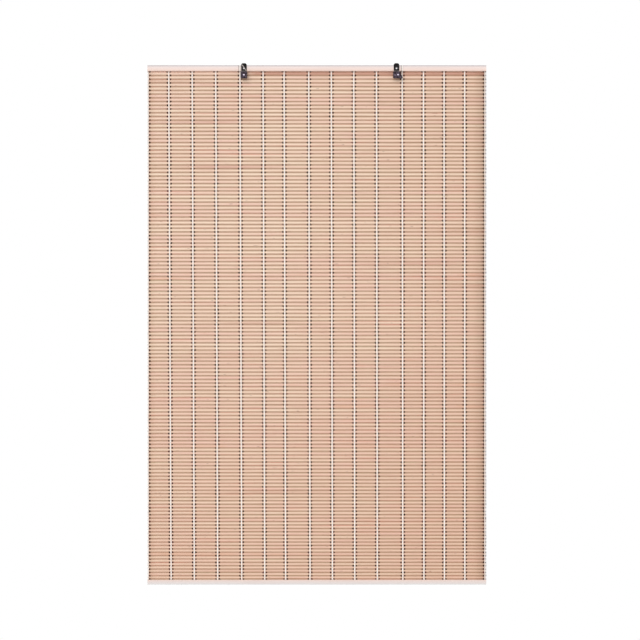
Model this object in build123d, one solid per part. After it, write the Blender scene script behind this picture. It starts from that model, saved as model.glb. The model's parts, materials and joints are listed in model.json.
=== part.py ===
from build123d import *
import os

os.makedirs("parts", exist_ok=True)

# The blind hangs in the XZ plane with its face towards -Y. The origin lies midway between
# the two fixing holes of the head, at the middle of the mat's thickness.

# Mat of bamboo slats held by warp yarns
mat_width = 800.0
mat_offset = -8.0
mat_top = 1.0
first_slat_top = -3.0
slat_pitch_top = 8.81
slat_pitch_loss = 1.0
slat_gap = 0.5
slat_thickness = 2.0
slat_edge = 1.3
slat_flat = 3.4
group_sizes = [4] * 13 + [3] * 22 + [2] * 12

# Warp yarns, from the left edge to the right one
warp_width = 3.4
warp_height = 0.6
warp_margin = 2.5
warp_relief = 1.5
warp_drift = 6.0
warp_wander = (
    0.0, -2.5, -0.5, 2.0, 6.0, 7.5, 4.0, 9.0,
    9.0, 9.0, 9.5, 17.0, 14.0, 9.5, 5.0, 0.0,
)

# Battens that clamp the two ends of the mat
head_height = 14.0
head_above_hole = 7.0
head_front_thickness = 6.0
head_rear_thickness = 5.0
foot_height = 11.0
foot_gap = 1.5
foot_thickness = 4.5
batten_round = 1.2
rebate_clearance = 0.2

# Fixing holes, each lined with an eyelet through the bracket and the head battens
hole_spacing = 360.0
eyelet_bore = 3.8
eyelet_wall = 0.3
eyelet_flange = 5.8
eyelet_flange_thickness = 0.5
eyelet_clearance = 0.05

# Sheet steel brackets on the front of the head
bracket_width = 13.0
bracket_above_head = 4.7
bracket_above_foot = 0.6
bracket_shoulder = 4.5
bracket_thickness = 1.2
neck_drop = 0.6

# Housings below the head, one for a pulley and one for the cord lock
housing_height = 17.0
pulley_housing_width = 15.4
lock_inboard = 8.3
lock_top_outboard = 8.0
lock_foot_outboard = 15.0
housing_depth = 7.1
housing_wall = 0.9
housing_corner = 2.2
housing_edge = 0.8
mouth_width = 9.0

# Grooved wheels, the locking cam and their pins
wheel_radius = 4.2
wheel_groove = 1.4
wheel_flange = 1.2
wheel_side_clearance = 0.3
wheel_drop = 9.2
lock_wheel_outboard = 3.4
pin_radius = 1.5
pin_head_radius = 2.6
pin_head_height = 0.9
pin_end = 0.4
pin_running_clearance = 0.05
pin_fit_clearance = 0.02
cam_beside_wheel = 6.7
cam_below_wheel = 0.8
cam_pin_radius = 1.0
cam_pin_head_radius = 1.6
cam_eye_radius = 1.9
cam_nose_radius = 1.5
cam_nose_reach = 3.2
cam_tooth = 0.35
cam_teeth = 3

# Levels and faces that several pieces share
half_slat = slat_thickness / 2
slat_count = sum(group_sizes)
head_top = head_above_hole
head_bottom = head_above_hole - head_height
head_front = -half_slat - head_front_thickness
head_rear = half_slat + head_rear_thickness
plate_front = head_front - bracket_thickness
housing_top = head_bottom - neck_drop
housing_bottom = housing_top - housing_height
housing_front = plate_front - housing_depth
wheel_z = head_bottom - wheel_drop
eyelet_radius = eyelet_bore / 2 + eyelet_wall


def slat_pitch(index):
    """Height that a slat takes up with its gap: the slats get narrower towards the foot."""
    down = index / (slat_count - 1)
    return slat_pitch_top - slat_pitch_loss * down ** 3


def slat_tops():
    """Upper end of each slat's share of the mat, and the mat's lower end last."""
    tops = [mat_top]
    for index in range(slat_count):
        tops.append(tops[-1] - slat_pitch(index))
    return tops


def across(points, length, middle=0.0):
    """A bar along X with a section given as (Y, Z) points."""
    face = Plane.YZ * make_face(Polyline(*points, close=True))
    return Pos(middle, 0, 0) * extrude(face, length / 2, both=True)


def slat(top, bottom):
    """One split bamboo slat, with a flat back, straight edges and a face crowned towards its middle."""
    high = top - slat_gap / 2
    low = bottom + slat_gap / 2
    middle = (high + low) / 2
    shoulder = half_slat - slat_edge
    section = [
        (half_slat, high),
        (shoulder, high),
        (-half_slat, middle + slat_flat / 2),
        (-half_slat, middle - slat_flat / 2),
        (shoulder, low),
        (half_slat, low),
    ]
    return across(section, mat_width, mat_offset)


def warp_place(number, down):
    """Where a warp crosses the mat; down goes from 0 at the head to 1 at the foot."""
    last = len(warp_wander) - 1
    spacing = (mat_width - 2 * warp_margin) / last
    place = mat_offset - mat_width / 2 + warp_margin + number * spacing + warp_wander[number]
    if 0 < number < last:
        place += warp_drift * (down - 0.5) * (1 - number / last)
    return place


def warps(top, bottom):
    """The stretch of every warp yarn on the face of one group of slats."""
    down = (mat_top - (top + bottom) / 2) / (mat_top - slat_tops()[-1])
    ridge = Plane.XY * make_face(
        Polyline(
            (-warp_width / 2, -half_slat),
            (0, -half_slat - warp_height),
            (warp_width / 2, -half_slat),
            close=True,
        )
    )
    yarn = Pos(0, 0, bottom) * extrude(ridge, top - bottom)
    return [Pos(warp_place(n, down), 0, 0) * yarn for n in range(len(warp_wander))]


def plain_cylinder(radius, front, rear, x, z):
    """A round bar along Y between two faces."""
    return Pos(x, (front + rear) / 2, z) * Rot(90, 0, 0) * Cylinder(radius, rear - front)


def turned(points, x, z):
    """A solid of revolution about a line along Y, from (radius, Y) points."""
    profile = make_face(Polyline(*points, close=True))
    return Pos(x, 0, z) * revolve(profile, Axis.Y)


def fixing_places():
    """The two fixing holes, left and right."""
    return [-hole_spacing / 2, hole_spacing / 2]


def hole_cuts():
    """Straight holes for the eyelets, through the brackets and both battens."""
    radius = eyelet_radius + eyelet_clearance
    reach = bracket_thickness
    return [plain_cylinder(radius, plate_front - reach, head_rear + reach, x, 0) for x in fixing_places()]


def drilled(piece):
    """A piece with the eyelet holes through it."""
    for cut in hole_cuts():
        piece = piece - cut
    return piece


def batten(top, bottom, front, rear, round_side):
    """A wooden batten as wide as the mat, with its two outer long edges rounded."""
    size = Box(mat_width, rear - front, top - bottom)
    body = Pos(mat_offset, (front + rear) / 2, (top + bottom) / 2) * size
    long_edges = body.edges().filter_by(Axis.X).sort_by(Axis.Y)
    outer = long_edges[:2] if round_side < 0 else long_edges[-2:]
    return fillet(outer, batten_round)


def rebated(body, top, bottom):
    """A rear batten with a lip that closes the space beside the clamped slat."""
    lip = Box(mat_width, slat_thickness, top - bottom)
    return body + Pos(mat_offset, 0, (top + bottom) / 2) * lip


def outline(points, corner):
    """A flat outline with its corners cut off, as a face to be stood upright."""
    face = make_face(Polyline(*points, close=True))
    return chamfer(face.vertices(), corner)


def sheet(face, front, rear, x):
    """A sketch in X and Z made into a sheet between two faces."""
    upright = Plane((x, rear, 0), x_dir=(1, 0, 0), z_dir=(0, -1, 0)) * face
    return extrude(upright, rear - front)


def housing_points(inboard, top_outboard, foot_outboard):
    """Corners of a housing, seen from the front and drawn about the fixing hole."""
    return [
        (-inboard, housing_top),
        (top_outboard, housing_top),
        (foot_outboard, housing_bottom),
        (-inboard, housing_bottom),
    ]


def bracket(x):
    """A steel strap on the face of the head that carries on down behind its housing."""
    half = bracket_width / 2
    foot = housing_bottom + bracket_above_foot
    top = head_top + bracket_above_head
    face = make_face(Polyline((-half, foot), (-half, top), (half, top), (half, foot), close=True))
    face = fillet(face.vertices().sort_by(Axis.Y)[-2:], bracket_shoulder)
    return sheet(face, plate_front, head_front, x)


def housing(points, x):
    """A pressed steel cover over the wheel, open behind and at the cords' two mouths."""
    face = outline(points, housing_corner)
    shell = sheet(face, housing_front, plate_front, x)
    shell = chamfer(shell.faces().sort_by(Axis.Y)[0].edges(), housing_edge)
    room = sheet(offset(face, -housing_wall), housing_front + housing_wall, plate_front, x)
    depth = plate_front - housing_front - housing_wall
    height = 3 * housing_height
    slot = Pos(x, plate_front - depth / 2, housing_top) * Box(mouth_width, depth, height)
    return shell - room - slot


def wheel(x):
    """A cord wheel with a square groove between two flanges and a bore that runs on its pin."""
    rear = plate_front - wheel_side_clearance
    front = housing_front + housing_wall + wheel_side_clearance
    bore = pin_radius + pin_running_clearance
    floor = wheel_radius - wheel_groove
    profile = [
        (bore, front),
        (wheel_radius, front),
        (wheel_radius, front + wheel_flange),
        (floor, front + wheel_flange),
        (floor, rear - wheel_flange),
        (wheel_radius, rear - wheel_flange),
        (wheel_radius, rear),
        (bore, rear),
    ]
    return turned(profile, x, wheel_z)


def pin(radius, head, x, z):
    """A riveted pin with its head in front and its peened end just proud behind the bracket."""
    profile = [
        (0, housing_front - pin_head_height),
        (head, housing_front - pin_head_height),
        (head, housing_front),
        (radius, housing_front),
        (radius, head_front + pin_end),
        (0, head_front + pin_end),
    ]
    return turned(profile, x, z)


def eyelet(x):
    """A tubular rivet through bracket and battens, flanged in front and flush behind."""
    bore = eyelet_bore / 2
    flange = eyelet_flange / 2
    profile = [
        (bore, plate_front - eyelet_flange_thickness),
        (flange, plate_front - eyelet_flange_thickness),
        (flange, plate_front),
        (eyelet_radius, plate_front),
        (eyelet_radius, head_rear),
        (bore, head_rear),
    ]
    return turned(profile, x, 0)


def cam(x, z):
    """The toothed dog of the cord lock, hanging nose down beside the wheel."""
    eye = Circle(cam_eye_radius)
    nose = Pos(0, -cam_nose_reach) * Circle(cam_nose_radius)
    cheek = make_face(
        Polyline((-cam_eye_radius, 0), (cam_eye_radius, 0), (cam_nose_radius, -cam_nose_reach),
                 (-cam_nose_radius, -cam_nose_reach), close=True)
    )
    face = eye + nose + cheek
    for tooth in range(cam_teeth):
        turn = -20 - 35 * tooth
        notch = Rot(0, 0, turn) * Pos(cam_nose_radius + cam_tooth * 0.4, 0)
        face = face - Pos(0, -cam_nose_reach) * notch * Rot(0, 0, 45) * Rectangle(cam_tooth, cam_tooth)
    face = face - Circle(cam_pin_radius + pin_running_clearance)
    rear = plate_front - wheel_side_clearance
    front = housing_front + housing_wall + wheel_side_clearance
    return Pos(0, 0, z) * sheet(face, front, rear, x)


def pierced(piece, pins):
    """A sheet with its pin holes; pins is a list of (radius, x, z)."""
    for radius, x, z in pins:
        piece = piece - plain_cylinder(radius + pin_fit_clearance, housing_front - 1, head_front + 1, x, z)
    return piece


left, right = fixing_places()
tops = slat_tops()
nodes = {}

# Slats, in groups that each hang from the one above
first = 0
for number, size in enumerate(group_sizes, 1):
    edges = tops[first:first + size + 1]
    slats = [slat(edges[k], edges[k + 1]) for k in range(size)]
    upper = edges[0] - warp_relief
    lower = edges[-1] + warp_relief
    if number == 1:
        slats[0] = slat(first_slat_top + slat_gap / 2, edges[1])
        upper = head_bottom
    if number == len(group_sizes):
        lower = edges[-2] - foot_gap
    nodes[f"slats_{number:02d}"] = slats + warps(upper, lower)
    first += size

# Head battens
rebate_top = first_slat_top + rebate_clearance
head_front_batten = batten(head_top, head_bottom, head_front, -half_slat, -1)
head_rear_batten = batten(head_top, head_bottom, half_slat, head_rear, 1)
nodes["head_batten_front"] = [drilled(head_front_batten)]
nodes["head_batten_rear"] = [drilled(rebated(head_rear_batten, head_top, rebate_top))]

# Foot battens
foot_top = tops[-2] - foot_gap
foot_bottom = foot_top - foot_height
foot_front = -half_slat - foot_thickness
foot_rear = half_slat + foot_thickness
rear_foot = batten(foot_top, foot_bottom, half_slat, foot_rear, 1)
nodes["foot_batten_front"] = [batten(foot_top, foot_bottom, foot_front, -half_slat, -1)]
nodes["foot_batten_rear"] = [rebated(rear_foot, tops[-1] - rebate_clearance, foot_bottom)]

# Brackets, housings and what turns in them
pulley_points = housing_points(
    pulley_housing_width / 2, pulley_housing_width / 2, pulley_housing_width / 2
)
lock_points = housing_points(lock_inboard, lock_top_outboard, lock_foot_outboard)
lock_wheel_x = right + lock_wheel_outboard
cam_x = lock_wheel_x - cam_beside_wheel
cam_z = wheel_z - cam_below_wheel
pulley_pins = [(pin_radius, left, wheel_z)]
lock_pins = [(pin_radius, lock_wheel_x, wheel_z), (cam_pin_radius, cam_x, cam_z)]

nodes["bracket_left"] = [pierced(drilled(bracket(left)), pulley_pins)]
nodes["bracket_right"] = [pierced(drilled(bracket(right)), lock_pins)]
nodes["bracket_eyelets"] = [eyelet(left), eyelet(right)]
nodes["pulley_housing"] = [pierced(housing(pulley_points, left), pulley_pins)]
nodes["cord_lock_housing"] = [pierced(housing(lock_points, right), lock_pins)]
nodes["pulley_wheel"] = [wheel(left)]
nodes["cord_lock_wheel"] = [wheel(lock_wheel_x)]
nodes["cord_lock_cam"] = [cam(cam_x, cam_z)]
nodes["axle_pins"] = [
    pin(pin_radius, pin_head_radius, left, wheel_z),
    pin(pin_radius, pin_head_radius, lock_wheel_x, wheel_z),
    pin(cam_pin_radius, cam_pin_head_radius, cam_x, cam_z),
]

for name, pieces in nodes.items():
    solids = [solid for piece in pieces for solid in piece.solids()]
    shape = solids[0] if len(solids) == 1 else Compound(solids)
    export_step(shape, f"parts/{name}.step")
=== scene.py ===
import bpy
import json
import math
import numpy as np
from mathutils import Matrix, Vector


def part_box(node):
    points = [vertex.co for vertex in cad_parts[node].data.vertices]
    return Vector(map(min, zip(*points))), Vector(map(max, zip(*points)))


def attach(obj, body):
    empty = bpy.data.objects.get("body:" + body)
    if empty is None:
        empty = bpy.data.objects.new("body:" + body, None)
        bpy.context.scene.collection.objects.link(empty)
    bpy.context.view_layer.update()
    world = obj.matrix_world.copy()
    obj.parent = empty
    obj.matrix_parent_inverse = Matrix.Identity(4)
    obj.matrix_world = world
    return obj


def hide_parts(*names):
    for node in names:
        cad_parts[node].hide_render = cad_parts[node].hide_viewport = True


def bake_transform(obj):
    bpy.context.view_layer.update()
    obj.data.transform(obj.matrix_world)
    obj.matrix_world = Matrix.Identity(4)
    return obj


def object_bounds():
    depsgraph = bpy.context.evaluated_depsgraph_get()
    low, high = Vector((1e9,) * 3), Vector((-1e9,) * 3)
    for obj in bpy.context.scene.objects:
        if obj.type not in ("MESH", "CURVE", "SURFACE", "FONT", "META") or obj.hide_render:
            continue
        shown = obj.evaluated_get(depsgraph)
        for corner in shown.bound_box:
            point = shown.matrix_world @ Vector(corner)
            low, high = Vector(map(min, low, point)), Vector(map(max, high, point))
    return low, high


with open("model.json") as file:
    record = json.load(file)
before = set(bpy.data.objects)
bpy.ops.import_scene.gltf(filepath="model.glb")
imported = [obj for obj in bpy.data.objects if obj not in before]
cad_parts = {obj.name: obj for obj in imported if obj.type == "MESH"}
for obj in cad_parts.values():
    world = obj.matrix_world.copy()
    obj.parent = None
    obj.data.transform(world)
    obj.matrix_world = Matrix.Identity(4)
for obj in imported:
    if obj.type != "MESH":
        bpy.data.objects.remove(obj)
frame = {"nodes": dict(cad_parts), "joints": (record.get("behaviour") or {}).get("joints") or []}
cadLow, cadHigh = [list(corner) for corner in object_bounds()]
print("frame loaded")

# The blind is seen square from the front: X across, Z up, its face towards -Y, in metres.
# Its 142 slats hang in 47 groups: a group is a node, and the mat bends on the line between two groups.
mat = {
    "groupSizes": [4] * 13 + [3] * 22 + [2] * 12,
    "top": 0.001,
    "firstSlatTop": -0.0030,     # the first slat is ripped narrow to pass below the fixing holes
    "gap": 0.00006,
    "half": 0.001,               # half of a slat's thickness
    "seed": 41,
}

groupSizes = mat["groupSizes"]
groupCount = len(groupSizes)
hinges = [joint for joint in frame["joints"] if joint["name"].startswith("mat_bend_")]
hinges.sort(key=lambda joint: joint["name"])
hingeZ = np.array([joint["pos_m"][2] for joint in hinges])
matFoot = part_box(f"slats_{groupCount:02d}")[0].z - mat["gap"] / 2
groupEdges = np.concatenate([[mat["top"]], hingeZ, [matFoot]])
slatTops = np.concatenate([
    np.linspace(groupEdges[g], groupEdges[g + 1], size + 1)[:-1] for g, size in enumerate(groupSizes)
] + [[matFoot]])
firstSlat = np.concatenate([[0], np.cumsum(groupSizes)])
bodyOf = ["head"] + [joint["child"] for joint in hinges]


def groupNode(g):
    return f"slats_{g + 1:02d}"


# A step from 0 at low to 1 at high with flat ends: 3t^2 - 2t^3.
def smooth(low, high, value):
    t = np.clip((value - low) / (high - low), 0, 1)
    return t * t * (3 - 2 * t)


def newPiece(name, verts, faces, material, smoothFaces=True):
    mesh = bpy.data.meshes.new(name)
    mesh.from_pydata(verts.reshape(-1, 3), [], faces)
    mesh.materials.append(material)
    mesh.polygons.foreach_set("use_smooth", np.full(len(mesh.polygons), smoothFaces))
    piece = bpy.data.objects.new(name, mesh)
    bpy.context.scene.collection.objects.link(piece)
    return piece


# Quads and two end caps for bars laid out as (bar, station, ring point).
# The ring turns clockwise, looking along the bar, so that all faces look out.
def barFaces(bars, stations, ring):
    s, r = np.meshgrid(np.arange(stations - 1), np.arange(ring), indexing="ij")
    a = s * ring + r
    b = s * ring + (r + 1) % ring
    quads = np.stack([a, b, b + ring, a + ring], -1).reshape(-1, 4)
    starts = np.arange(bars)[:, None] * stations * ring
    sides = (quads[None] + starts[:, None]).reshape(-1, 4).tolist()
    near = starts + np.arange(ring)[::-1]
    far = starts + (stations - 1) * ring + np.arange(ring)
    return sides + np.stack([near, far], 1).reshape(-1, ring).tolist()


def pointValues(piece, name, values):
    channel = piece.data.attributes.new(name, "FLOAT", "POINT")
    channel.data.foreach_set("value", np.ascontiguousarray(values, np.float32).ravel())


# One socket of a node tree. + - * between wires and numbers add Math nodes.
class Wire:
    def __init__(self, socket):
        self.socket = socket
        self.tree = socket.id_data

    # Any node: its settings are set first, then the values or links of its inputs.
    def node(self, kind, settings=None, values=None, out=0):
        made = self.tree.nodes.new(kind)
        for key, value in (settings or {}).items():
            if key == "stops":
                elements = made.color_ramp.elements
                while len(elements) < len(value):
                    elements.new(0.5)
                for element, (place, colour) in zip(elements, value):
                    element.position = place
                    element.color = srgb(colour)
            else:
                setattr(made, key, value)
        for key, value in (values or {}).items():
            if isinstance(value, Wire):
                self.tree.links.new(value.socket, made.inputs[key])
            else:
                made.inputs[key].default_value = value
        return Wire(made.outputs[out])

    # Links a wire to an input of this wire's own node.
    def feed(self, name, wire):
        self.tree.links.new(wire.socket, self.socket.node.inputs[name])

    def maths(self, operation, *values):
        return self.node("ShaderNodeMath", {"operation": operation}, dict(enumerate(values)))

    def __add__(self, other):
        return self.maths("ADD", self, other)

    def __sub__(self, other):
        return self.maths("SUBTRACT", self, other)

    def __rsub__(self, other):
        return self.maths("SUBTRACT", other, self)

    def __mul__(self, other):
        return self.maths("MULTIPLY", self, other)

    __radd__ = __add__
    __rmul__ = __mul__

    # 0 below low, 1 above high, smooth between.
    def clamped(self, low, high):
        return self.node("ShaderNodeMapRange", {"interpolation_type": "SMOOTHSTEP"},
                         {"Value": self, "From Min": low, "From Max": high})

    # A mix of two colours with this wire as its factor; 6, 7 and 2 are the node's colour sockets.
    def mixed(self, first, second):
        return self.node("ShaderNodeMix", {"data_type": "RGBA"}, {0: self, 6: first, 7: second}, out=2)


# A colour as seen on a screen, 0 to 255, turned into the linear colour that a shader takes.
def srgb(colour):
    seen = np.array(colour) / 255
    line = np.where(seen <= 0.04045, seen / 12.92, ((seen + 0.055) / 1.055) ** 2.4)
    return (*line.tolist(), 1.0)


# A Principled material with its constant sockets set, and the wire that its patterns start from.
def newMaterial(name, sockets):
    material = bpy.data.materials.new(name)
    material.use_nodes = True
    shader = material.node_tree.nodes["Principled BSDF"]
    for key, value in sockets.items():
        shader.inputs[key].default_value = value
    return material, Wire(shader.outputs["BSDF"])


def attribute(surface, name):
    return surface.node("ShaderNodeAttribute", {"attribute_name": name}, out="Fac")


def objectPlace(surface, axis=None):
    place = surface.node("ShaderNodeTexCoord", out="Object")
    if axis is None:
        return place
    return surface.node("ShaderNodeSeparateXYZ", values={"Vector": place}, out=axis)


# Noise on object coordinates: stretch is how many features a metre holds along X, Y and Z.
# A slat's own number moves it through the noise's fourth dimension, so that no two are alike.
def pattern(surface, stretch, detail, roughness=0.6, own=None, turn=(0, 0, 0)):
    place = surface.node("ShaderNodeMapping",
                         values={"Vector": objectPlace(surface), "Scale": stretch, "Rotation": turn})
    values = {"Vector": place, "Scale": 1.0, "Detail": detail, "Roughness": roughness}
    if own is None:
        return surface.node("ShaderNodeTexNoise", values=values)
    return surface.node("ShaderNodeTexNoise", {"noise_dimensions": "4D"}, {**values, "W": own})


def bumped(surface, height, strength, distance):
    relief = {"Height": height, "Strength": strength, "Distance": distance}
    surface.feed("Normal", surface.node("ShaderNodeBump", values=relief))


# Shape of the slats
slat = {
    "stations": 26,
    "across": (0.5, 0.46, 0.38, 0.24, 0.08, -0.08, -0.24, -0.38, -0.46, -0.5),   # shares of its height
    "crown": 0.00105,            # how far its edges lie behind its crest
    "crownPower": 2.4,
    "back": 0.00097,
    "endWander": 0.0006,
    "levelWaves": ((0.00012, 1.3), (0.00008, 3.7)),   # height and turns of each wave along a slat
    "crownWaves": ((0.09, 2.1), (0.06, 5.3)),
}

# Finish of the slats
bamboo = {
    "straw": (246, 221, 196),
    "tan": (243, 213, 189),
    "pink": (241, 203, 184),
    "orange": (234, 190, 162),
    "tone": (0.56, 0.15),        # mean and spread of the slats' place from orange, 0, to straw, 1
    "footRightTone": (204, 156, 128),     # the mat turns to this towards its foot and its right side
    "footRightDown": (0.35, 1.3, 0.32),         # from, to and strength
    "footRightSide": (-0.1, 0.4, 0.16),
    "red": (196, 142, 120),      # the reddish first row and the odd reddish slat
    "redSlats": 0.12,            # share of the slats with a reddish stretch
    "redStrength": (0.15, 0.45),
    "redReach": 0.14,            # half the length of such a stretch
    "firstRow": 0.85,
    "firstRowStart": (-0.176, -0.169),     # the first row is reddish to the right of the pulley
    "firstRowEdge": 0.1,         # its upper edge, below the head's lip, gets little of the painted gap shade
    "grainDark": (170, 118, 86),
    "grainStrength": 0.34,
    "fleck": (112, 78, 60),
    "fleckStrength": 0.8,
    # browns of the painted shade towards each slat's edges
    "edges": [(0.30, (164, 138, 102)), (0.46, (160, 116, 84)),
              (0.56, (168, 128, 100)), (0.70, (184, 106, 82))],
    "gapShadeStrength": 0.80,
    "gapShadeReach": (0.05, 0.48),   # from a slat's middle, where the painted shade between slats starts and where it is full
    "gapShadeDrop": 0.03,            # the lower edge is the darker one of this painted shade
    "roughness": (0.38, 0.22),   # base, and what the grain adds
    "relief": (0.4, 0.0002),     # strength and depth
}


def bambooMaterial():
    material, surface = newMaterial("splitBamboo", {"Coat Weight": 0.06, "Coat Roughness": 0.3})
    tone, seed, across, stain = [
        attribute(surface, name) for name in ("slatTone", "slatSeed", "slatAcross", "slatStain")]
    own = seed * 37.0
    patch = pattern(surface, (4, 0, 2), 3.0)
    shade = pattern(surface, (7, 0, 60), 3.0, own=own)
    tones = [(0.0, bamboo["orange"]), (0.25, bamboo["pink"]), (0.6, bamboo["tan"]), (1.0, bamboo["straw"])]
    fresh = surface.node("ShaderNodeValToRGB", {"stops": tones},
                         {"Fac": tone + (shade - 0.5) * 1.5 + (patch - 0.5) * 0.6})
    down = objectPlace(surface, "Z") * -1
    right = objectPlace(surface, "X")
    downFrom, downTo, downShare = bamboo["footRightDown"]
    rightFrom, rightTo, rightShare = bamboo["footRightSide"]
    # darker and browner towards the foot and the right side
    footRightShare = down.clamped(downFrom, downTo) * downShare + right.clamped(rightFrom, rightTo) * rightShare
    stained = stain.mixed(footRightShare.mixed(fresh, srgb(bamboo["footRightTone"])), srgb(bamboo["red"]))
    grain = pattern(surface, (14, 500, 1300), 5.0, 0.65, own)
    streak = pattern(surface, (9, 300, 420), 4.0, 0.65, own + 5.0)
    fibres = (grain.clamped(0.48, 0.76) + streak.clamped(0.52, 0.76)) * bamboo["grainStrength"]
    grained = fibres.mixed(stained, srgb(bamboo["grainDark"]))
    spots = pattern(surface, (60, 300, 520), 2.0, 0.5, own + 9.0).clamped(0.68, 0.76)
    flecked = (spots * bamboo["fleckStrength"]).mixed(grained, srgb(bamboo["fleck"]))
    # painted shade: each slat darkens towards its edges, where the gaps between slats lie in shade
    reach = surface.maths("ABSOLUTE", across + bamboo["gapShadeDrop"]).clamped(*bamboo["gapShadeReach"])
    edge = reach * (shade * 0.5 + 0.70) * bamboo["gapShadeStrength"]
    gapShadeBrown = surface.node("ShaderNodeValToRGB", {"stops": bamboo["edges"]},
                         {"Fac": pattern(surface, (4, 0, 80), 3.0, own=own + 20.0)})
    base, added = bamboo["roughness"]
    surface.feed("Base Color", edge.mixed(flecked, gapShadeBrown))
    surface.feed("Roughness", grain * added + base)
    bumped(surface, grain * 0.6 + streak * 0.5, *bamboo["relief"])
    return material


# Slats as (slat, station, ring point): each is flat behind and crowned in front by a power of the way
# from its middle to its edge, and is carried along X while its level and its crown wander with slow
# sine waves. It also gives each point's share of the slat's height, 0.5 at the top edge.
def slatShape(z0, z1, rng):
    count = len(z0)
    along = np.linspace(0, 1, slat["stations"])
    left = cadLow[0] + rng.uniform(0, slat["endWander"], (count, 1))
    right = cadHigh[0] - rng.uniform(0, slat["endWander"], (count, 1))
    face = np.array(slat["across"])
    ringV = np.concatenate([face, [-0.5, 0.5]])
    crown = slat["crown"] * np.abs(2 * face) ** slat["crownPower"]
    ringY = np.concatenate([-mat["half"] + crown, [slat["back"]] * 2])
    phase = rng.uniform(0, 2 * np.pi, (4, count, 1))
    wave = 2 * np.pi * along[None]
    level = sum(h * np.sin(n * wave + p) for (h, n), p in zip(slat["levelWaves"], phase[:2]))
    level = level * np.sin(np.pi * along)
    flat = 1 + sum(h * np.sin(n * wave + p) for (h, n), p in zip(slat["crownWaves"], phase[2:]))
    inner = np.abs(ringV) < 0.5
    verts = np.empty((count, len(along), len(ringV), 3))
    verts[..., 0] = (left + (right - left) * along)[..., None]
    verts[..., 1] = -mat["half"] + (ringY + mat["half"])[None, None] * np.where(inner, flat[..., None], 1)
    middle = ((z0 + z1) / 2)[:, None, None]
    tall = ((z0 - z1) - mat["gap"])[:, None, None]
    verts[..., 2] = middle + tall * ringV[None, None] + level[..., None] * np.where(inner, 1, 0)
    return verts, np.broadcast_to(ringV, verts.shape[:3])


def makeSlats():
    rng = np.random.default_rng(mat["seed"])
    material = bambooMaterial()
    total = len(slatTops) - 1
    tones = np.clip(rng.normal(*bamboo["tone"], total), 0, 1)
    seeds = rng.uniform(0, 1, total)
    isRed = rng.uniform(0, 1, total) < bamboo["redSlats"]
    reds = np.where(isRed, rng.uniform(*bamboo["redStrength"], total), 0)
    reddest = rng.uniform(cadLow[0], cadHigh[0], total)
    for g, size in enumerate(groupSizes):
        own = slice(firstSlat[g], firstSlat[g] + size)
        z0 = slatTops[own].copy()
        z1 = slatTops[firstSlat[g] + 1:firstSlat[g] + size + 1]
        if g == 0:
            z0[0] = mat["firstSlatTop"]
        verts, across = slatShape(z0, z1, rng)
        x = verts[..., 0]
        stain = reds[own, None, None] * np.exp(-((x - reddest[own, None, None]) / bamboo["redReach"]) ** 2)
        if g == 0:
            stain[1] = bamboo["firstRow"] * smooth(*bamboo["firstRowStart"], x[1])
            across = np.stack([0 * across[0], np.minimum(across[1], bamboo["firstRowEdge"]), *across[2:]])
        stations, ring = x.shape[1:]
        piece = newPiece(f"bamboo_slats_{g + 1:02d}", verts, barFaces(size, stations, ring), material)
        pointValues(piece, "slatTone", np.repeat(tones[own], stations * ring))
        pointValues(piece, "slatSeed", np.repeat(seeds[own], stations * ring))
        pointValues(piece, "slatAcross", across)
        pointValues(piece, "slatStain", stain)
        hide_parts(groupNode(g))
        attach(piece, bodyOf[g])
    print("slats made")


# The pale warps in front of the slats and behind them
yarn = {
    "halfWidth": 0.00148,
    "halfDepth": 0.00032,
    "sides": 6,
    "proud": 0.00022,            # its middle stands this far before the slats' crest
    "dip": (0.00018, 0.0009),    # depth and reach of its dip into each gap
    "dipRings": 0.0014,          # extra rings this far above and below each gap carry the dip
    "tuck": 0.001,               # the yarns end this far inside the battens
    "wander": 0.00012,
    "leftmost": 0.0012,          # the first warp lies over the very ends of the slats
    "bendReach": 0.0035,
    "colour": (255, 247, 240),
    "shade": (232, 206, 198),
}

# The dark thread that shows beside each warp at each gap
stitch = {
    "beside": 0.0040,            # from the yarn's middle
    "halfWidth": 0.00135,
    "halfHeight": 0.0024,
    "front": 0.00040,            # how far it stands before the slats' crest
    "behind": 0.25,              # share of that at the back, where it lies flatter
    "sizes": (0.85, 1.1),
    "lean": 0.00022,
    "scatter": 0.00015,
    "toneCurve": 1.3,            # above 1 makes more of them dark
    "inset": 0.0013,             # from the slats' ends, the nearest that one comes
    "clear": 0.0005,             # from the battens, the nearest that one comes
    "bendReach": 0.0022,
    "tones": [(0.0, (16, 8, 10)), (0.5, (44, 20, 22)), (0.8, (84, 30, 40)), (1.0, (84, 62, 52))],
    "worn": (110, 84, 78),
}


# The x of the sixteen ridges on each group, read from the ridges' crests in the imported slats.
def warpPlaces():
    rows = []
    for g in range(groupCount):
        mesh = frame["nodes"][groupNode(g)].data
        points = np.empty(len(mesh.vertices) * 3, np.float32)
        mesh.vertices.foreach_get("co", points)
        points = points.reshape(-1, 3)
        crest = points[points[:, 1] < -mat["half"] - 0.0004, 0]
        rows.append(np.unique(np.round(crest, 5)))
    return np.array(rows)


def yarnMaterial():
    material, surface = newMaterial("warpYarn", {"Roughness": 0.85, "Sheen Weight": 0.15})
    fibres = pattern(surface, (900, 900, 260), 3.0, turn=(0, 0.5, 0))
    shade = fibres.clamped(0.4, 0.8) * 0.4
    surface.feed("Base Color", shade.mixed(srgb(yarn["colour"]), srgb(yarn["shade"])))
    bumped(surface, fibres, 0.5, 0.0002)
    return material


def stitchMaterial():
    material, surface = newMaterial("stitchThread", {"Roughness": 0.9, "Specular IOR Level": 0.15})
    tone = surface.node("ShaderNodeValToRGB", {"stops": stitch["tones"]},
                        {"Fac": attribute(surface, "stitchTone")})
    fibres = pattern(surface, (1500, 1500, 700), 3.0)
    surface.feed("Base Color", (fibres.clamped(0.45, 0.8) * 0.25).mixed(tone, srgb(stitch["worn"])))
    bumped(surface, fibres, 0.4, 0.0001)
    return material


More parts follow.
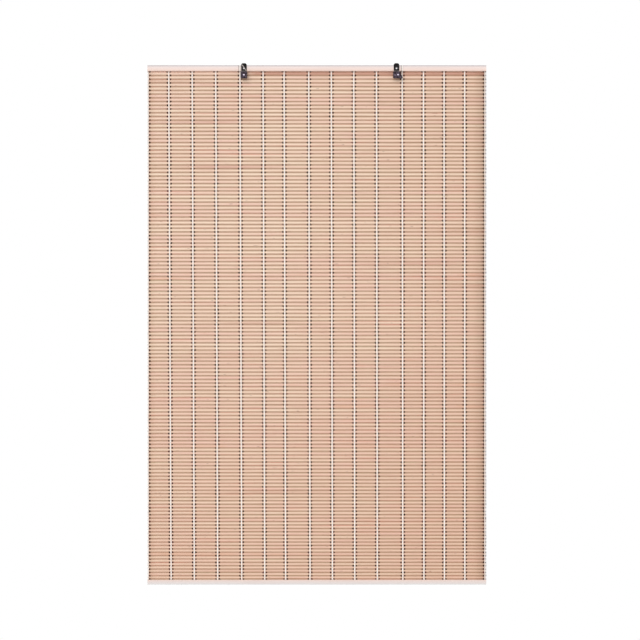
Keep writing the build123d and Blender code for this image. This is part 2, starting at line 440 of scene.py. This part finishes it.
# Flat tubes down the mat as (tube, station, ring point): at each level z an ellipse about (x, y).
def runs(x, y, z, halfWidth, halfDepth, sides):
    turn = -np.linspace(0, 2 * np.pi, sides, endpoint=False)
    verts = np.empty((*x.shape, sides, 3))
    verts[..., 0] = x[..., None] + halfWidth * np.cos(turn)
    verts[..., 1] = y[..., None] + halfDepth * np.sin(turn)
    verts[..., 2] = z[None, :, None]
    return verts


# A stitch at each (x, z), before and behind the mat: a lens of four rings of five points, wide and
# proud at its middle rings, whose fifth points sink between the slats' edges.
def stitchShape(x, z, rng):
    count = x.size
    rise = np.array([1.0, 0.42, -0.42, -1.0])
    wide = np.array([0.45, 1.0, 1.0, 0.45])
    proud = np.array([0.25, 1.0, 1.0, 0.25])
    sunk = np.array([-0.1, -0.55, -0.55, -0.1])
    ringX = np.array([0.0, 1.0, 0.5, -0.5, -1.0])
    ringOut = np.stack([2.2 * sunk, 0.3 * proud, proud, proud, 0.3 * proud], -1)
    size = rng.uniform(*stitch["sizes"], (count, 1, 1))
    lean = rng.normal(0, stitch["lean"], (count, 1, 1))
    verts = np.empty((count, *ringOut.shape, 3))
    half = stitch["halfWidth"] * size * (wide[:, None] * ringX)[None]
    verts[..., 0] = x.reshape(-1, 1, 1) + lean * rise[None, :, None] + half
    verts[..., 1] = -mat["half"] - stitch["front"] * ringOut[None]
    verts[..., 2] = z.reshape(-1, 1, 1) + stitch["halfHeight"] * size * rise[None, :, None]
    behind = verts.copy()
    behind[..., 1] = mat["half"] + stitch["behind"] * stitch["front"] * np.maximum(ringOut, -0.3)[None]
    return np.concatenate([verts, behind[:, ::-1]])


# The x of each warp at levels z: the ridges' places joined from group to group.
def warpX(places, z):
    groupMiddle = (groupEdges[:-1] + groupEdges[1:]) / 2
    x = np.array([np.interp(z, groupMiddle[::-1], column[::-1]) for column in places.T])
    x[0] -= yarn["leftmost"]
    return x


def bendOver(piece, above, level):
    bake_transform(piece)


# A yarn piece runs from the middle of one group to the middle of the next, over one hinge line.
def makeYarns(places, headLow, footTop, rng):
    material = yarnMaterial()
    gaps = slatTops[1:-1]
    middles = (slatTops[:-1] + slatTops[1:]) / 2
    fuzz = rng.normal(0, yarn["wander"], (places.shape[1], len(slatTops)))
    rings = yarn["dipRings"]
    levels = np.sort(np.concatenate([gaps, middles[1:-1], gaps + rings, gaps - rings]))
    inner = [middles[firstSlat[g] + groupSizes[g] // 2] for g in range(groupCount - 1)]
    tuck = yarn["tuck"]
    cuts = [headLow + tuck, *inner, middles[firstSlat[groupCount - 1]], footTop - tuck]
    depth, reach = yarn["dip"]
    for k, (high, low) in enumerate(zip(cuts[:-1], cuts[1:])):
        inside = levels[(levels < high) & (levels > low)]
        z = np.unique(np.concatenate([[high, low], inside]))[::-1]
        x = warpX(places, z) + np.array([np.interp(z, slatTops[::-1], row[::-1]) for row in fuzz])
        dip = depth * np.exp(-(np.abs(z[:, None] - gaps[None]).min(1) / reach) ** 2)
        face = np.broadcast_to(-mat["half"] - yarn["proud"] + dip, x.shape)
        tubes = np.concatenate([
            runs(x, y, z, yarn["halfWidth"], yarn["halfDepth"], yarn["sides"]) for y in (face, -face)])
        faces = barFaces(len(tubes), len(z), yarn["sides"])
        piece = newPiece(f"warp_yarns_{k:02d}", tubes, faces, material)
        if k == 0:
            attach(piece, "head")
        elif k == len(cuts) - 2:
            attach(piece, "foot")
        else:
            bendOver(piece, bodyOf[k - 1], hingeZ[k - 1])


def makeStitches(places, headLow, footTop, rng):
    material = stitchMaterial()
    for g, size in enumerate(groupSizes):
        gaps = slatTops[firstSlat[g] + 1:firstSlat[g] + size + 1]
        gaps = gaps[(gaps < headLow - stitch["clear"]) & (gaps > footTop + stitch["clear"])]
        if not len(gaps):
            continue
        x = warpX(places, gaps)
        sides = np.concatenate([x[1:] - stitch["beside"], x + stitch["beside"]])
        sides = np.clip(sides, cadLow[0] + stitch["inset"], cadHigh[0] - stitch["inset"])
        z = np.broadcast_to(gaps, sides.shape) + rng.normal(0, stitch["scatter"], sides.shape)
        sides = sides + rng.normal(0, stitch["scatter"], sides.shape)
        verts = stitchShape(sides, z, rng)
        count, rings, ring = verts.shape[:3]
        piece = newPiece(f"stitches_{g + 1:02d}", verts, barFaces(count, rings, ring), material)
        tones = rng.uniform(0, 1, count) ** stitch["toneCurve"]
        pointValues(piece, "stitchTone", np.repeat(tones, rings * ring))
        level = slatTops[firstSlat[g] + size]
        if level in gaps:             # the stitches over the hinge line only have their transform baked
            bendOver(piece, bodyOf[g], level)
        else:
            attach(piece, bodyOf[g])


def makeWarps():
    places = warpPlaces()
    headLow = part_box("head_batten_front")[0].z
    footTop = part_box("foot_batten_front")[1].z
    rng = np.random.default_rng(mat["seed"] + 1)
    makeYarns(places, headLow, footTop, rng)
    makeStitches(places, headLow, footTop, rng)
    print("warps made")


# Two warps end in front of the head beside the fittings, each with a thin grey line of painted shadow
# beside it, and a pale thread lies across the left plate
ends = {
    "warps": [4, 11],
    "top": 0.0066,
    "under": 0.0004,             # they go on this far below the head's lower edge
    "off": 0.0002,               # from the head's face to their middle
    "stations": 7,
    "endShadow": {"beside": 0.0026, "halfWidth": 0.0005, "halfDepth": 0.0003, "sides": 6},
    "endShadowColours": ((126, 112, 108), (88, 72, 68)),
    "strand": {"radius": 0.0008, "sides": 8, "stations": 9, "off": 0.0004, "sag": 0.0012},
    "strandStart": (-0.0042, 0.0078),      # x from the plate's middle, and z
    "strandRun": (0.0098, -0.0146),
    "strandColours": ((214, 202, 196), (176, 160, 156)),
}


def threadMaterial(name, colours, roughness):
    material, surface = newMaterial(name, {"Roughness": roughness})
    cloud = pattern(surface, (900, 900, 900), 2.0)
    surface.feed("Base Color", cloud.mixed(srgb(colours[0]), srgb(colours[1])))
    return material


# One round tube carried along a path of points, its rings square to the path.
def tube(path, radius, sides):
    ahead = np.gradient(path, axis=0)
    ahead = ahead / np.linalg.norm(ahead, axis=1, keepdims=True)
    side = np.cross(ahead, [0, 1, 0])
    side = side / np.linalg.norm(side, axis=1, keepdims=True)
    up = np.cross(side, ahead)
    turn = -np.linspace(0, 2 * np.pi, sides, endpoint=False)
    ring = side[:, None] * np.cos(turn)[None, :, None] + up[:, None] * np.sin(turn)[None, :, None]
    return (path[:, None] + radius * ring)[None]


def makeEnds():
    endShadow, strand = ends["endShadow"], ends["strand"]
    count, stations = len(ends["warps"]), ends["stations"]
    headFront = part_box("head_batten_front")[0]
    x = np.repeat(warpPlaces()[0][ends["warps"]][:, None], stations, 1)
    y = np.full(x.shape, headFront.y - ends["off"])
    z = np.linspace(ends["top"], headFront.z - ends["under"], stations)
    yarnEnds = newPiece("warp_ends", runs(x, y, z, yarn["halfWidth"], yarn["halfDepth"], yarn["sides"]),
                        barFaces(count, stations, yarn["sides"]), yarnMaterial())
    # painted shadow: a thin grey tube beside each warp end stands for the shadow at the cord's side
    thin = runs(x - endShadow["beside"], y, z, endShadow["halfWidth"], endShadow["halfDepth"], endShadow["sides"])
    endShadowLines = newPiece("warp_end_shadow_lines", thin, barFaces(count, stations, endShadow["sides"]),
                        threadMaterial("paintedEndShadow", ends["endShadowColours"], 0.7))

    low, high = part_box("bracket_left")
    steps = np.linspace(0, 1, strand["stations"])
    (startX, startZ), (runX, runZ) = ends["strandStart"], ends["strandRun"]
    path = np.stack([
        (low.x + high.x) / 2 + startX + runX * steps,
        low.y - strand["radius"] - strand["off"] + strand["sag"] * (2 * steps - 1) ** 4,
        startZ + runZ * steps,
    ], -1)
    across = newPiece("bracket_thread", tube(path, strand["radius"], strand["sides"]),
                      barFaces(1, strand["stations"], strand["sides"]),
                      threadMaterial("paleThread", ends["strandColours"], 0.6))
    for piece in (yarnEnds, endShadowLines, across):
        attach(piece, "head")
    print("thread ends made")


# The battens' limed wood, its stops from a batten's lower arris, 0, to its upper one, 1; the grey stops at
# the top of the head are painted shade along its upper arris
batten = {
    "head": [(0.0, (234, 206, 193)), (0.25, (243, 219, 209)), (0.74, (243, 228, 224)),
             (0.84, (212, 202, 202)), (1.0, (198, 189, 190))],
    "foot": [(0.0, (222, 219, 218)), (0.6, (226, 212, 207)), (1.0, (232, 208, 198))],
    "shade": (214, 184, 172),
    "roughness": 0.6,
}

# Each metal's colour and its darker clouds
metal = {
    "pewter": ((60, 51, 60), (20, 9, 13)),
    "steel": ((96, 92, 96), (54, 50, 54)),
    "brass": ((190, 150, 86), (120, 88, 46)),
}
paint = {"black": (8, 4, 6), "thin": (44, 40, 42), "worn": (176, 170, 162), "paleBandAbove": 0.0007}
rivet = {"colour": (84, 76, 88), "dark": (60, 52, 60), "paintedGlint": (226, 218, 232), "glintReach": (0.0008, 0.0015)}
wheel = {"colour": (214, 208, 200), "dark": (180, 172, 164)}


def limedWoodAndShade(name, stops, node):
    material, surface = newMaterial(name, {"Roughness": batten["roughness"]})
    low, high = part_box(node)
    share = (objectPlace(surface, "Z") - low.z) * (1 / (high.z - low.z))
    # painted shade: the grey at the top of the head's stops
    limed = surface.node("ShaderNodeValToRGB", {"stops": stops}, {"Fac": share})
    grain = pattern(surface, (5, 160, 420), 5.0)
    tint = pattern(surface, (3, 20, 20), 3.0)
    shade = grain.clamped(0.46, 0.8) * 0.4 + tint.clamped(0.5, 0.8) * 0.2
    surface.feed("Base Color", shade.mixed(limed, srgb(batten["shade"])))
    bumped(surface, grain, 0.25, 0.0002)
    return material


# Black paint, with a pale band just above each housing.
def paintMaterial():
    material, surface = newMaterial("blackPaint", {"Specular IOR Level": 0.14})
    peel = pattern(surface, (700, 700, 700), 3.0)
    wear = pattern(surface, (160, 160, 160), 4.0)
    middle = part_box("pulley_housing")[1].z + paint["paleBandAbove"]
    band = 1 - surface.maths("ABSOLUTE", objectPlace(surface, "Z") - middle).clamped(0.0002, 0.0010)
    painted = (wear.clamped(0.62, 0.8) * 0.5).mixed(srgb(paint["black"]), srgb(paint["thin"]))
    # the pale band just above each housing
    surface.feed("Base Color", (band * 0.75).mixed(painted, srgb(paint["worn"])))
    surface.feed("Roughness", wear * 0.2 + 0.46)
    bumped(surface, peel, 0.12, 0.0001)
    return material


def plateMaterial(name, colours, roughness):
    material, surface = newMaterial(name, {"Metallic": 0.85})
    cloud = pattern(surface, (240, 240, 240), 4.0)
    scratch = pattern(surface, (1800, 300, 120), 3.0)
    surface.feed("Base Color", cloud.clamped(0.38, 0.62).mixed(srgb(colours[0]), srgb(colours[1])))
    surface.feed("Roughness", cloud * 0.2 + (roughness - 0.08))
    bumped(surface, scratch, 0.1, 0.0001)
    return material


# Dull rivets, with a painted glint at the middle of the two on the wheels' axes.
def rivetMaterial():
    material, surface = newMaterial("rivetHead", {"Roughness": 0.3, "Metallic": 0.8})
    flat = surface.node("ShaderNodeVectorMath", {"operation": "MULTIPLY"},
                        {0: objectPlace(surface), 1: (1, 0, 1)})
    glintDots = []
    for node in ("pulley_wheel", "cord_lock_wheel"):
        low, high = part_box(node)
        axis = ((low.x + high.x) / 2, 0, (low.z + high.z) / 2)
        away = surface.node("ShaderNodeVectorMath", {"operation": "DISTANCE"},
                            {0: flat, 1: axis}, out="Value")
        glintDots.append(1 - away.clamped(*rivet["glintReach"]))
    cloud = pattern(surface, (300, 300, 300), 3.0)
    # painted glint: the colour turns bright at the middle of the two axle rivets
    worn = (glintDots[0] + glintDots[1]).mixed(srgb(rivet["colour"]), srgb(rivet["paintedGlint"]))
    surface.feed("Base Color", (cloud * 0.3).mixed(worn, srgb(rivet["dark"])))
    bumped(surface, cloud, 0.1, 0.0001)
    return material


def wheelMaterial():
    material, surface = newMaterial("mouldedWheel", {"Roughness": 0.5})
    cloud = pattern(surface, (300, 300, 300), 3.0)
    surface.feed("Base Color", (cloud * 0.4).mixed(srgb(wheel["colour"]), srgb(wheel["dark"])))
    bumped(surface, cloud, 0.1, 0.0001)
    return material


def dress(material, *nodes):
    for node in nodes:
        mesh = frame["nodes"][node].data
        mesh.materials.clear()
        mesh.materials.append(material)


def dressFittings():
    for end in ("head", "foot"):
        dress(limedWoodAndShade(f"{end}Wood", batten[end], f"{end}_batten_front"),
              f"{end}_batten_front", f"{end}_batten_rear")
    dress(paintMaterial(), "bracket_left", "bracket_right")
    dress(plateMaterial("pewterPlate", metal["pewter"], 0.34), "pulley_housing", "cord_lock_housing")
    dress(plateMaterial("eyeletSteel", metal["steel"], 0.3), "bracket_eyelets")
    dress(rivetMaterial(), "axle_pins")
    dress(plateMaterial("castBrass", metal["brass"], 0.4), "cord_lock_cam")
    dress(wheelMaterial(), "pulley_wheel", "cord_lock_wheel")
    print("fittings dressed")


studio = {
    "mmPerPixel": 2.363,
    "pixels": 640,
    "lens": 150.0,
    "sensor": 36.0,
    "centreX": -0.00056,         # what the middle of the picture looks at
    "centreZ": -0.5944,
    "floor": -1.62,
    "floorReach": 1.9,
    "floorFade": (0.45, 0.98),   # shares of the reach between which it turns white
    "floorColour": (0.95, 0.95, 0.95, 1),
    "skyLight": 0.47,
    "sun": 1.80,
    "sunAngle": 60.0,
    "sunHeight": 22.0,           # degrees above the horizon
    "sunSide": -18.0,            # degrees to the left of straight in front
}


def makeCamera():
    data = bpy.data.cameras.new("camera")
    data.lens = studio["lens"]
    data.sensor_width = studio["sensor"]
    data.clip_end = 100
    field = studio["mmPerPixel"] * studio["pixels"] / 1000
    camera = bpy.data.objects.new("camera", data)
    camera.location = (studio["centreX"], -field * studio["lens"] / studio["sensor"], studio["centreZ"])
    camera.rotation_euler = (math.pi / 2, 0, 0)
    bpy.context.scene.collection.objects.link(camera)
    bpy.context.scene.camera = camera


# 1 for rays from the camera, in mirrors and through glass, and 0 for the rays that light the object.
def seenWhite(wire):
    camera = wire.node("ShaderNodeLightPath", out="Is Camera Ray")
    path = camera.socket.node.outputs
    seen = camera + Wire(path["Is Glossy Ray"]) + Wire(path["Is Transmission Ray"])
    return wire.maths("MINIMUM", seen, 1.0)


def makeWorld():
    world = bpy.data.worlds.new("sky")
    bpy.context.scene.world = world
    world.use_nodes = True
    background = Wire(world.node_tree.nodes["Background"].outputs["Background"])
    background.socket.node.inputs["Color"].default_value = (1, 1, 1, 1)
    background.feed("Strength", seenWhite(background) * (1.0 - studio["skyLight"]) + studio["skyLight"])


# A pale floor that takes the shadow and fades into the white background towards its rim.
def makeFloor():
    reach, level = studio["floorReach"], studio["floor"]
    material, surface = newMaterial("paleFloor", {"Roughness": 0.9, "Base Color": studio["floorColour"]})
    away = surface.node("ShaderNodeVectorMath", {"operation": "DISTANCE"},
                        {0: objectPlace(surface), 1: (0, 0, level)}, out="Value")
    start, full = studio["floorFade"]
    fade = away.clamped(start * reach, full * reach) * seenWhite(surface)
    glow = surface.node("ShaderNodeEmission", values={"Color": (1, 1, 1, 1), "Strength": 1.0})
    blend = surface.node("ShaderNodeMixShader", values={0: fade, 1: surface, 2: glow})
    surface.tree.links.new(blend.socket, surface.tree.nodes["Material Output"].inputs["Surface"])
    corners = np.array([(x * reach, y * reach, level) for x, y in ((-1, -1), (1, -1), (1, 1), (-1, 1))])
    newPiece("floor", corners, [[0, 1, 2, 3]], material, False)


def makeSun():
    data = bpy.data.lights.new("sun", "SUN")
    data.energy = studio["sun"]
    data.angle = math.radians(studio["sunAngle"])
    height, side = math.radians(studio["sunHeight"]), math.radians(studio["sunSide"])
    level = math.cos(height)
    towards = Vector((math.sin(side) * level, -math.cos(side) * level, math.sin(height)))
    lamp = bpy.data.objects.new("sun", data)
    lamp.rotation_euler = towards.to_track_quat("Z", "Y").to_euler()
    bpy.context.scene.collection.objects.link(lamp)


def makeStudio():
    makeCamera()
    makeWorld()
    makeFloor()
    makeSun()
    bpy.context.scene.view_settings.view_transform = "Standard"
    print("studio made")


makeSlats()
makeWarps()
makeEnds()
dressFittings()
makeStudio()
